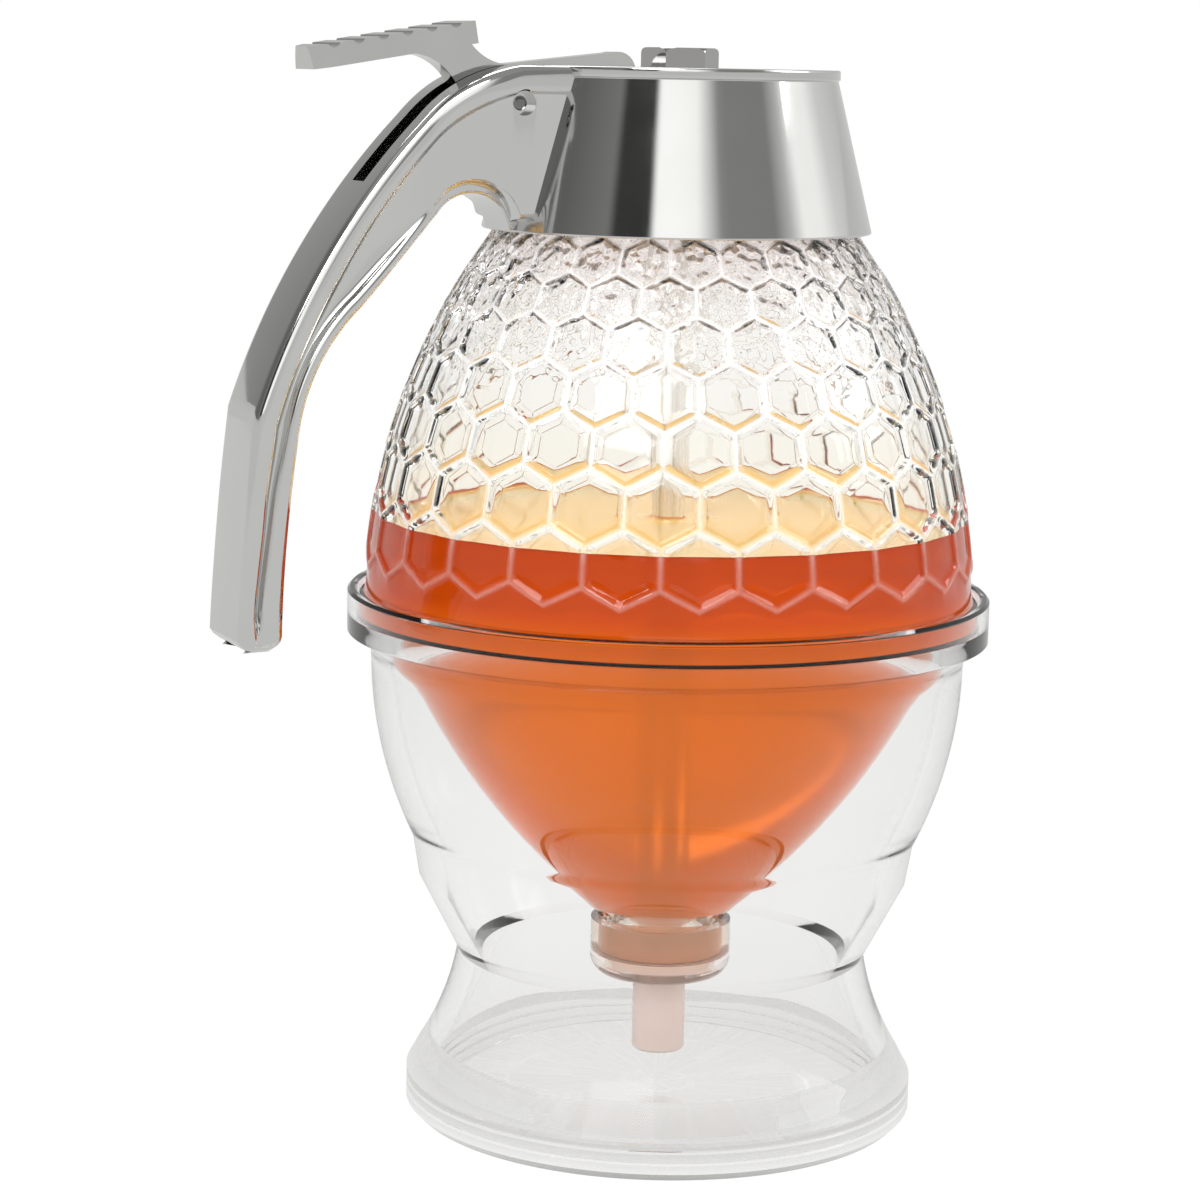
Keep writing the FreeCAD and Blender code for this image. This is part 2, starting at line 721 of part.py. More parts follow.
def make_thumb_rest():
    """Sloping plate with a round outer end and a row of shallow grooves across its top."""
    plate = slab([
        along_rest(0, 0),
        along_rest(REST_L, 0),
        along_rest(REST_L, REST_T),
        along_rest(0, REST_T),
    ], REST_W / 2)
    x_end = along_rest(0, 0)[0]
    plan = Part.makeBox(REST_L + 5, REST_W, 2 * REST_L, V(x_end, -REST_W / 2, CAP_TOP - REST_L))
    upright = [edge for edge in plan.Edges if stands_at(edge, x_end)]
    plate = plate.common(plan.makeFillet(REST_CORNER, upright))
    pitch = REST_L / (REST_GROOVES + 0.6)
    for i in range(REST_GROOVES):
        x, z = along_rest(pitch * (i + 0.8), -REST_GROOVE_R * 0.35)
        plate = plate.cut(crossbar(REST_GROOVE_R, REST_W, x, z))
    return plate


def trigger_outline():
    """Side view of the trigger's plate: neck under the thumb rest, hub and front arm."""
    hub_low = PIN_DROP + HUB_R
    return [
        along_rest(REST_L * 0.62, REST_T - 0.6),
        along_rest(REST_L * 0.6, REST_T),
        (down(-34.6, -0.2), down(-31.9, 2.6)),
        down(PIN_X - HUB_R, PIN_DROP),
        (down(PIN_X - HUB_R * 0.707, PIN_DROP + HUB_R * 0.707), down(PIN_X, hub_low)),
        (down(PIN_X + HUB_R * 0.707, PIN_DROP + HUB_R * 0.707), down(PIN_X + HUB_R, PIN_DROP)),
        down(PIN_X + HUB_R, GROOVE_DEPTH - FLOOR_FIT),
        (ARM_END_X + 1.5, SPANNER_Z),
        (ARM_END_X + 1.5, SPANNER_TOP),
        (ARM_END_X, CAP_TOP),
        (down(ARM_END_X - 1.1, 0.25 - ARM_RISE), down(ARM_END_X - 3.2, -ARM_RISE)),
        down(PIN_X - 0.3, -0.05),
        (down(-28.4, -1.1), along_rest(REST_L, REST_T - 0.6)),
    ]


def make_spanner():
    """Open end of the arm, round the rod and under the knob; its tips fall away to stay clear."""
    disc = post(SPANNER_R, SPANNER_Z, SPANNER_TOP)
    gap = ROD_R + SPANNER_FIT
    disc = disc.cut(post(gap, SPANNER_Z - 1, SPANNER_TOP + 1))
    mouth = Part.makeBox(SPANNER_R + 1, 2 * gap, SPANNER_T + 2, V(0, -gap, SPANNER_Z - 1))
    disc = disc.cut(mouth)
    fall = slab([
        (0.3, SPANNER_TOP),
        (SPANNER_R + 1, SPANNER_TOP - 1.0),
        (SPANNER_R + 1, SPANNER_TOP + 1),
        (0.3, SPANNER_TOP + 1),
    ], SPANNER_R + 1)
    disc = disc.cut(fall)
    shank_x = ARM_END_X + 0.2
    shank = Part.makeBox(-gap - shank_x + 1.0, PLATE_T, SPANNER_T, V(shank_x, -PLATE_T / 2, SPANNER_Z))
    shank = shank.cut(post(gap, SPANNER_Z - 1, SPANNER_TOP + 1))
    return disc.fuse(shank)


def make_lever():
    """Trigger: thumb rest, neck, hub and front arm in one casting."""
    plate = slab(trigger_outline(), PLATE_T / 2)
    lever = plate.fuse([make_thumb_rest(), make_spanner()])
    return single(lever.cut(crossbar(PIN_R + PIN_FIT, PLATE_T, PIN_X, PIN_Z)))


# ---- Sub-parts -------------------------------------------------------------------------------

SUBPARTS = {
    "stand": make_stand,
    "jar": make_jar,
    "honey": make_honey,
    "outlet_collar": make_collar,
    "nozzle": make_nozzle,
    "plunger_rod": make_rod,
    "plunger_knob": make_knob,
    "cap": make_cap,
    "pivot_pin": make_pin,
    "lever": make_lever,
}


def main():
    os.makedirs("parts", exist_ok=True)
    for node, make in SUBPARTS.items():
        shape = make()
        print(node, "solids", len(shape.Solids), "valid", shape.isValid(),
              "volume", round(shape.Volume, 1), "faces", len(shape.Faces))
        shape.exportStep("parts/" + node + ".step")


main()
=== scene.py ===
import math
import bpy, bmesh
from mathutils import Vector, Matrix


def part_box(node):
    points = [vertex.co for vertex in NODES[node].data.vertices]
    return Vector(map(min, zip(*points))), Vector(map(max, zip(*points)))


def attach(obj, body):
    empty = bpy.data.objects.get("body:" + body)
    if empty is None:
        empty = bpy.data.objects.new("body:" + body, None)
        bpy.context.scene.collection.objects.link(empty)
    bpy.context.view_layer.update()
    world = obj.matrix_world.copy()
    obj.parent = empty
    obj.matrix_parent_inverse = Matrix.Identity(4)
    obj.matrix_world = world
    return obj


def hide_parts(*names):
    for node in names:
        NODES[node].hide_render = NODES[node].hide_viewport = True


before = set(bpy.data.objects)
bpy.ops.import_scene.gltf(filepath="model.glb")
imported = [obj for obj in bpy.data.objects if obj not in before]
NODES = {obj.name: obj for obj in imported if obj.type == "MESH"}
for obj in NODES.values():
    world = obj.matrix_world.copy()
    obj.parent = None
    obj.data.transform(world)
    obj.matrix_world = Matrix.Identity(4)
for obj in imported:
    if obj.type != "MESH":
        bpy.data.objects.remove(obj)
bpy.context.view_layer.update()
MM = 0.001                      # shapes are written in mm; Blender's objects are in metres
TURN = 2 * math.pi
RIDGE_LAYER = "ridge"           # on the jar's vertices: 1 on a ridge's crest, 0 below it


# ---- Nodes -----------------------------------------------------------------------------------

class Graph:
    """The nodes of a material or world, with short ways to add and join them."""

    def __init__(self, owner):
        self.owner = owner
        owner.use_nodes = True
        self.tree = owner.node_tree
        self.tree.nodes.clear()
        kind = "World" if isinstance(owner, bpy.types.World) else "Material"
        self.out = self.add("ShaderNodeOutput" + kind)

    def add(self, kind, **values):
        """A node, with its settings and inputs by name, underscores for spaces."""
        node = self.tree.nodes.new(kind)
        for key, value in values.items():
            if hasattr(node, key):
                setattr(node, key, value)
            else:
                node.inputs[key.replace("_", " ")].default_value = value
        return node

    def join(self, source, target):
        """Feeds an input from another node's output or from a plain value."""
        if isinstance(source, bpy.types.NodeSocket):
            self.tree.links.new(source, target)
        else:
            target.default_value = source

    def surface(self, shader):
        self.join(shader, self.out.inputs["Surface"])

    def principled(self, **values):
        node = self.add("ShaderNodeBsdfPrincipled", **values)
        self.surface(node.outputs[0])
        return node

    def absorb(self, colour, density):
        """The inside takes light away down to the colour, more so where it is thick."""
        inside = self.add("ShaderNodeVolumeAbsorption", Color=(*colour, 1), Density=density)
        self.join(inside.outputs[0], self.out.inputs["Volume"])

    def spots(self, scale, detail, roughness=0.55, stretch=(1, 1, 1), seed=0.0):
        """Noise on the object's own coordinates."""
        place = self.add("ShaderNodeTexCoord")
        turn = self.add("ShaderNodeMapping", Scale=stretch,
                        Location=(seed, seed * 0.7, seed * 0.3))
        cloud = self.add("ShaderNodeTexNoise", Scale=scale, Detail=detail, Roughness=roughness)
        self.join(place.outputs["Object"], turn.inputs["Vector"])
        self.join(turn.outputs[0], cloud.inputs["Vector"])
        return cloud.outputs[0]

    def spread(self, source, low, high, start=0.3, end=0.7):
        """From low to high as the source goes from start to end."""
        node = self.add("ShaderNodeMapRange", From_Min=start, From_Max=end, To_Min=low, To_Max=high)
        self.join(source, node.inputs["Value"])
        return node.outputs[0]

    def upward(self, vector):
        """The Z of a vector."""
        split = self.add("ShaderNodeSeparateXYZ")
        self.join(vector, split.inputs[0])
        return split.outputs["Z"]

    def height(self, bottom, top, low=0.0, high=1.0, space="Object"):
        """From low to high between two heights in metres."""
        place = self.add("ShaderNodeTexCoord")
        return self.spread(self.upward(place.outputs[space]), low, high, bottom, top)

    def tint(self, source, stops):
        """A colour ramp through (place, colour) stops."""
        ramp = self.add("ShaderNodeValToRGB")
        band = ramp.color_ramp
        ends = (band.elements[0], band.elements[1])
        for element, (place, colour) in zip(ends, (stops[0], stops[-1])):
            element.position = place
            element.color = (*colour, 1)
        for place, colour in stops[1:-1]:
            band.elements.new(place).color = (*colour, 1)
        self.join(source, ramp.inputs[0])
        return ramp.outputs[0]

    def mottled(self, source, colour, shade, start, end):
        """The colour where the source is high, and shade times as bright where it is low."""
        return self.tint(source, [(start, tuple(c * shade for c in colour)), (end, colour)])

    def bump(self, source, strength, distance, normal=None):
        node = self.add("ShaderNodeBump", Strength=strength, Distance=distance)
        self.join(source, node.inputs["Height"])
        if normal is not None:
            self.join(normal, node.inputs["Normal"])
        return node.outputs[0]

    def calc(self, operation, first, second, clamp=False):
        node = self.add("ShaderNodeMath", operation=operation, use_clamp=clamp)
        self.join(first, node.inputs[0])
        self.join(second, node.inputs[1])
        return node.outputs[0]

    def blend(self, share, first, second, way="MIX"):
        """Two colours in one; the node's colours are inputs 6 and 7 and output 2."""
        node = self.add("ShaderNodeMix", data_type="RGBA", blend_type=way)
        self.join(share, node.inputs[0])
        self.join(first, node.inputs[6])
        self.join(second, node.inputs[7])
        return node.outputs[2]

    def mix(self, share, first, second):
        """The first shader, and the second in its place by a share."""
        node = self.add("ShaderNodeMixShader")
        for source, target in zip((share, first, second), node.inputs):
            self.join(source, target)
        return node.outputs[0]


def material(name):
    return Graph(bpy.data.materials.new(name))


# ---- Materials -------------------------------------------------------------------------------

def clear_plastic(name, tint, seed=0.0, shine=0.3, painted_light_bands=(), crest_highlight=0.0, crest_highlight_heights=None,
                  crinkled=None, depth=0.0, through=False):
    """Moulded acrylic: faintly wavy, and a little duller in patches.

    shine is the strength of what it mirrors, and bands are (height, colour) stops of a faint tint
    that paints light and shade. frost is how white and less clear its ridge crests are made, a
    painted highlight, in full above the two heights frosted.
    crinkled is the two heights between which shrink marks set in. depth is how strongly it greys
    where it is thick. Where through is true, shadow and diffuse rays go straight through it.
    """
    g = material(name)
    s = g.principled(Base_Color=(*tint, 1), IOR=1.49, Transmission_Weight=1.0, Roughness=0.02,
                     Specular_Tint=(shine, shine, shine, 1))
    base = g.mottled(g.spots(24, 1, seed=seed + 7), tint, 0.985, 0.3, 0.7)
    # the bands paint light and shade into the colour, by height
    if painted_light_bands:
        bottom, top = painted_light_bands[0][0], painted_light_bands[-1][0]
        stops = [((z - bottom) / (top - bottom), colour) for z, colour in painted_light_bands]
        base = g.blend(1.0, base, g.tint(g.height(bottom, top), stops), "MULTIPLY")
    g.join(base, s.inputs["Base Color"])
    # painted highlight: the ridge crests are made whiter and less clear, by taking off transmission
    if crest_highlight:
        ridges = g.add("ShaderNodeAttribute", attribute_name=RIDGE_LAYER)
        painted_crest_highlight = g.calc("MULTIPLY", ridges.outputs["Fac"], g.height(*crest_highlight_heights, crest_highlight * 0.35, crest_highlight))
        g.join(g.spread(painted_crest_highlight, 1.0, 0.0, 0.0, 1.0), s.inputs["Transmission Weight"])
    if depth:
        g.absorb((0.30, 0.30, 0.28), depth)
    g.join(g.spread(g.spots(38, 1, seed=seed), 0.012, 0.035), s.inputs["Roughness"])
    waves = g.bump(g.spots(55, 1, seed=seed + 2), 0.05, 0.0006)
    relief = g.bump(g.spots(900, 0, seed=seed + 5), 0.02, 0.00004, waves)
    if crinkled:
        marks = g.calc("MULTIPLY", g.height(*crinkled), g.spots(420, 1, 0.6, seed=seed + 9))
        relief = g.bump(marks, 0.6, 0.0011, relief)
    g.join(relief, s.inputs["Normal"])
    if through:
        path = g.add("ShaderNodeLightPath")
        either = g.calc("MAXIMUM", path.outputs["Is Shadow Ray"], path.outputs["Is Diffuse Ray"])
        straight = g.add("ShaderNodeBsdfTransparent", Color=(*(c ** 0.5 for c in tint), 1))
        g.surface(g.mix(either, s.outputs[0], straight.outputs[0]))
    return g.owner


def chrome(name, tone, seed=0.0):
    """Polished chrome on a zinc casting: slow waves, fine haze in patches."""
    g = material(name)
    s = g.principled(Metallic=1.0, Roughness=0.06)
    g.join(g.mottled(g.spots(30, 4, seed=seed), tone, 0.93, 0.35, 0.65), s.inputs["Base Color"])
    g.join(g.spread(g.spots(70, 5, 0.65, seed=seed + 1), 0.045, 0.11), s.inputs["Roughness"])
    slow = g.bump(g.spots(45, 2, seed=seed + 3), 0.06, 0.0005)
    g.join(g.bump(g.spots(2200, 2, seed=seed + 4), 0.03, 0.00002, slow), s.inputs["Normal"])
    return g.owner


def steel(name):
    """Drawn steel rod: fine lines along its length."""
    g = material(name)
    s = g.principled(Metallic=1.0, Roughness=0.25)
    lines = g.spots(1400, 3, stretch=(1, 1, 0.02))
    g.join(g.tint(lines, [(0.3, (0.72, 0.69, 0.66)), (0.7, (0.88, 0.86, 0.83))]),
           s.inputs["Base Color"])
    g.join(g.spread(lines, 0.16, 0.32), s.inputs["Roughness"])
    g.join(g.bump(lines, 0.15, 0.00004), s.inputs["Normal"])
    return g.owner


def thick_honey(name):
    """Honey: cloudy enough to glow, with painted light pale in the outlet, painted shade deepest
    just under its level, and a painted sheen on the level itself.
    """
    g = material(name)
    s = g.principled(IOR=1.45, Transmission_Weight=0.5, Roughness=0.13, Specular_IOR_Level=0.1,
                     Specular_Tint=(0.2, 0.2, 0.2, 1))
    # painted light and shade by height: paler in the outlet, darkest just under the level
    sides = g.tint(g.height(0.020, 0.080), [
        (0.0, (0.95, 0.62, 0.44)), (0.13, (0.95, 0.58, 0.40)), (0.20, (1.0, 0.26, 0.016)),
        (0.32, (1.0, 0.25, 0.010)), (0.76, (1.0, 0.225, 0.006)), (0.87, (0.62, 0.074, 0.001)),
        (1.0, (0.58, 0.062, 0.001))])
    clouds = g.tint(g.spots(30, 4), [(0.3, (0.93, 0.90, 0.86)), (0.7, (1.0, 1.0, 1.0))])
    sides = g.blend(1.0, sides, clouds, "MULTIPLY")
    # painted sheen: faces that turn up to the level are painted a paler gold
    facing = g.add("ShaderNodeNewGeometry")
    level = g.spread(g.upward(facing.outputs["Normal"]), 0.0, 1.0, 0.8, 0.97)
    g.join(g.blend(level, sides, (1.0, 0.72, 0.20, 1)), s.inputs["Base Color"])
    g.join(g.bump(g.spots(60, 2), 0.05, 0.0004), s.inputs["Normal"])
    g.absorb((1.0, 0.50, 0.02), 6)
    return g.owner


def soft_rubber(name, colour):
    """Translucent silicone with a faint bloom."""
    g = material(name)
    s = g.principled(Roughness=0.34, IOR=1.42, Transmission_Weight=0.25, Subsurface_Weight=0.6,
                     Subsurface_Radius=(0.004, 0.0025, 0.002), Subsurface_Scale=0.6)
    g.join(g.mottled(g.spots(160, 4), colour, 0.93, 0.35, 0.65), s.inputs["Base Color"])
    g.join(g.spread(g.spots(500, 3), 0.28, 0.42), s.inputs["Roughness"])
    g.join(g.bump(g.spots(1500, 3), 0.12, 0.00004), s.inputs["Normal"])
    return g.owner


# Painted light and shade by height: a painted glow of the honey yellows the jar just above it,
# a painted reflection and shade of the cap turn it mauve near the cap, and painted shade greys the
# stand's foot
JAR_PAINTED_LIGHT_BANDS = [(0.079, (1, 0.99, 0.95)), (0.084, (1, 0.985, 0.935)), (0.092, (1, 0.995, 0.97)),
             (0.100, (1, 1, 1)), (0.108, (1, 1, 1)), (0.1145, (0.955, 0.925, 0.93)),
             (0.118, (0.90, 0.86, 0.865))]
STAND_PAINTED_SHADE_BANDS = [(0.0, (0.94, 0.935, 0.93)), (0.0065, (0.945, 0.94, 0.936)),
               (0.010, (0.985, 0.985, 0.98)), (0.020, (1, 1, 1)), (0.060, (1, 1, 1)),
               (0.071, (0.985, 0.982, 0.975))]

ACRYLIC = clear_plastic("acrylic_jar", (0.988, 0.988, 0.98), shine=0.6, painted_light_bands=JAR_PAINTED_LIGHT_BANDS,
                        crest_highlight=0.3, crest_highlight_heights=(0.079, 0.084), crinkled=(0.099, 0.110))
STAND_ACRYLIC = clear_plastic("acrylic_stand", (0.975, 0.975, 0.97), seed=3.0, shine=0.1,
                              painted_light_bands=STAND_PAINTED_SHADE_BANDS, depth=26, through=True)
TINTED = clear_plastic("amber_tinted_nut", (0.975, 0.90, 0.86), seed=5.0, through=True)
CHROME = chrome("polished_chrome", (0.70, 0.70, 0.69))
# darker copies of the same chrome: painted shade on the lever and, more, on the knob
LEVER_CHROME_PAINTED_SHADE = chrome("lever_chrome_painted_shade", (0.66, 0.66, 0.65), seed=4.0)
NUT_CHROME_PAINTED_SHADE = chrome("nut_chrome_painted_shade", (0.46, 0.455, 0.45), seed=6.0)
# the pin's end is painted nearly black, a painted shade of the recess it sits in
PIN_PAINTED_SHADE = chrome("pin_steel_painted_shade", (0.24, 0.24, 0.235), seed=8.0)
ROD_STEEL = steel("rod_steel")
AMBER = thick_honey("honey_amber")
SILICONE = soft_rubber("silicone_nozzle", (0.85, 0.715, 0.66))


# ---- Lines -----------------------------------------------------------------------------------

def ease(t):
    """Smooth step from 0 to 1."""
    return t * t * (3 - 2 * t)


def between(x, stops):
    """Smooth value at x from (x, value) stops in rising order."""
    if x <= stops[0][0]:
        return stops[0][1]
    for (x0, v0), (x1, v1) in zip(stops, stops[1:]):
        if x <= x1:
            return v0 + (v1 - v0) * ease((x - x0) / (x1 - x0))
    return stops[-1][1]


def sweep(low, high, radius, hollow=False):
    """Distance from the axis of a round stretch between two (r, z) points, as a function of z."""
    side = -1 if hollow else 1
    dr, dz = high[0] - low[0], high[1] - low[1]
    chord = math.hypot(dr, dz)
    back = math.sqrt(radius ** 2 - chord ** 2 / 4)
    r0 = (low[0] + high[0]) / 2 - side * back * dz / chord
    z0 = (low[1] + high[1]) / 2 + side * back * dr / chord

    def at(z, skin=0.0):
        return r0 + side * math.sqrt((radius - side * skin) ** 2 - (z - z0) ** 2)
    at.radius, at.middle_z = radius, z0
    return at


def stretch(curve, z_from, z_to, count, skin=0.0):
    """Points (r, z) along a sweep, skin mm in from it."""
    heights = [z_from + (z_to - z_from) * i / count for i in range(count + 1)]
    return [(curve(z, skin), z) for z in heights]


def line(a, b, count):
    return [(a[0] + (b[0] - a[0]) * i / count, a[1] + (b[1] - a[1]) * i / count)
            for i in range(count + 1)]


def arc(a, b, c, count):
    """Points along the circle through three points."""
    (ax, ay), (bx, by), (cx, cy) = a, b, c
    d = 2 * (ax * (by - cy) + bx * (cy - ay) + cx * (ay - by))
    sa, sb, sc = ax * ax + ay * ay, bx * bx + by * by, cx * cx + cy * cy
    ux = (sa * (by - cy) + sb * (cy - ay) + sc * (ay - by)) / d
    uy = (sa * (cx - bx) + sb * (ax - cx) + sc * (bx - ax)) / d
    r = math.hypot(ax - ux, ay - uy)
    start, middle, end = (math.atan2(y - uy, x - ux) for x, y in (a, b, c))
    middle = start + math.remainder(middle - start, TURN)
    end = middle + math.remainder(end - middle, TURN)
    angles = [start + (end - start) * i / count for i in range(count + 1)]
    return [(ux + r * math.cos(t), uy + r * math.sin(t)) for t in angles]


def end_to_end(*runs):
    """Runs of points in one; each starts at the point that the one before it ends on."""
    return runs[0] + [point for run in runs[1:] for point in run[1:]]


def corner(a, b, c, cut, steps):
    """Points round the corner b, from cut before it to cut after it."""
    start, end = b + (a - b).normalized() * cut, b + (c - b).normalized() * cut
    out = []
    for t in (k / steps for k in range(steps + 1)):
        q = start * (1 - t) ** 2 + b * 2 * t * (1 - t) + end * t ** 2
        out.append((q.x, q.y))
    return out


def softened(path, radii, closed=False):
    """The path with its sharp corners rounded, one radius per point."""
    out = []
    count = len(path)
    for i, point in enumerate(path):
        a, b, c = Vector(path[i - 1]), Vector(point), Vector(path[(i + 1) % count])
        turn = (a - b).angle(c - b, math.pi)
        is_end = not closed and i in (0, count - 1)
        if is_end or radii[i] <= 0 or turn > math.radians(165):
            out.append(point)
        else:
            room = min((a - b).length, (c - b).length) * 0.45
            out += corner(a, b, c, min(radii[i] / math.tan(turn / 2), room), 4)
    return out


def evenly_softened(path, cuts, steps):
    """The path with every inner corner cut back, always by the same number of points."""
    out = [path[0]]
    for i in range(1, len(path) - 1):
        a, b, c = (Vector(path[k]) for k in (i - 1, i, i + 1))
        room = min((a - b).length, (c - b).length) * 0.48
        out += corner(a, b, c, min(cuts[i], room), steps)
    out.append(path[-1])
    return out


# ---- Meshes and pieces -----------------------------------------------------------------------

def ring(bm, radius, z, sides):
    """Level ring of vertices round the axis, in metres."""
    angles = [TURN * i / sides for i in range(sides)]
    return [bm.verts.new((radius * math.cos(t), radius * math.sin(t), z)) for t in angles]


def span(bm, a, b):
    """Faces from one closed loop of vertices to the next; a loop of one vertex is a tip."""
    count = max(len(a), len(b))
    for i in range(count):
        j = (i + 1) % count
        if len(a) == 1:
            bm.faces.new((a[0], b[i], b[j]))
        elif len(b) == 1:
            bm.faces.new((a[i], a[j], b[0]))
        else:
            bm.faces.new((a[i], a[j], b[j], b[i]))


def closed_tube(bm, loops):
    """Faces along a row of loops, and one over each end."""
    for a, b in zip(loops, loops[1:]):
        span(bm, a, b)
    bm.faces.new(loops[0])
    bm.faces.new(loops[-1])
    return bm


def lathe(path, sides):
    """Closed turned mesh of an (r, z) outline in mm, which may end on the axis."""
    bm = bmesh.new()
    rings = [ring(bm, r * MM, z * MM, sides) if r else [bm.verts.new((0, 0, z * MM))]
             for r, z in path]
    for a, b in zip(rings, rings[1:]):
        span(bm, a, b)
    if path[0][0] and path[-1][0]:
        span(bm, rings[-1], rings[0])
    return bm


def linked(name, data):
    obj = bpy.data.objects.new(name, data)
    bpy.context.scene.collection.objects.link(obj)
    return obj


def solid(name, bm):
    """An object of the bmesh, which is freed."""
    mesh = bpy.data.meshes.new(name)
    bm.to_mesh(mesh)
    bm.free()
    return linked(name, mesh)


def carved(bm, cutter_bm):
    """The first mesh with the second taken out of it."""
    ends = []
    for source in (bm, cutter_bm):
        bmesh.ops.recalc_face_normals(source, faces=source.faces)
        ends.append(solid("work", source))
    cut = ends[0].modifiers.new("cut", "BOOLEAN")
    cut.operation = "DIFFERENCE"
    cut.solver = "EXACT"
    cut.object = ends[1]
    bpy.context.view_layer.update()
    result = ends[0].evaluated_get(bpy.context.evaluated_depsgraph_get()).to_mesh()
    out = bmesh.new()
    out.from_mesh(result)
    for obj in ends:
        bpy.data.objects.remove(obj)
    return out


def dress(obj, mat):
    obj.data.materials.clear()
    obj.data.materials.append(mat)


def piece(name, bm, mat, body, node, sharp):
    """A piece that rides on a body in place of a CAD node; edges over sharp degrees stay sharp."""
    bmesh.ops.recalc_face_normals(bm, faces=bm.faces)
    obj = solid(name, bm)
    for poly in obj.data.polygons:
        poly.use_smooth = True
    obj.data.set_sharp_from_angle(angle=math.radians(sharp))
    dress(obj, mat)
    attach(obj, body)
    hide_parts(node)
    return obj


# ---- Jar: honeycomb dome over a smooth funnel ------------------------------------------------

SEAT = 67.4                     # the jar's rim stands on the stand's shelf at this height
DOME = sweep((40.45, 69.9), (23.75, 118.0), 83.3)
FUNNEL = sweep((11.0, 29.5), (37.3, SEAT), 87.6)
WALL = 2.4
INSIDE_FUNNEL = stretch(FUNNEL, 30.6, 66.6, 26, WALL)
PIPE, BORE = 7.5, 5.4           # the outlet's outer and inner radius
OUTLET = 21.8                   # height of the outlet's end
NECK = 125.0                    # the dome's inside runs up to here, and the neck starts over it
NECK_BORE, NECK_RADIUS = 16.6, 19.0
PLATE = 134.9                   # the neck's top, under the cap's plate

AROUND = 26                     # cells in a row
ROWS = 7
FIRST_ROW = SEAT + 11.6         # height of the middle of the lowest row
ROW_PITCH = 0.765               # height from row to row, for each mm of a cell's width
HALF_CELL = 4.9                 # half the width of the widest cells
RIDGE_HEIGHT = 0.46
INSETS = (0.18, 0.38, 0.6, 0.82, 1.05)      # mesh lines from a ridge's crest to its foot, in mm
STEPS = 6                       # mesh steps from one corner of a cell to the next
SIDES = 2 * AROUND * STEPS


def row_heights():
    """Heights of the middles of the rows, and of one more row below and above."""
    rows = [FIRST_ROW]
    while len(rows) < ROWS:
        z = rows[-1]
        steep = math.sqrt(1 - ((z - DOME.middle_z) / DOME.radius) ** 2)
        rows.append(z + ROW_PITCH * TURN * DOME(z) / AROUND * steep)
    return [2 * rows[0] - rows[1]] + rows + [2 * rows[-1] - rows[-2]]


ROW_Z = row_heights()


def crest(k, i):
    """Height of the zigzag between rows k - 1 and k at mesh step i."""
    low, high = ROW_Z[k], ROW_Z[k + 1]
    t = (i / STEPS - (k + 1) % 2) % 2
    share = 2 / 3 - t / 3 if t <= 1 else 1 / 3 + (t - 1) / 3
    return low + (high - low) * share


def below_crest(d, half):
    """Depth under the crest at d mm in from it, on a cell of that half width."""
    size = half / HALF_CELL
    return RIDGE_HEIGHT * size ** 0.5 * ease(min(d / (INSETS[-1] * size ** 0.6), 1))


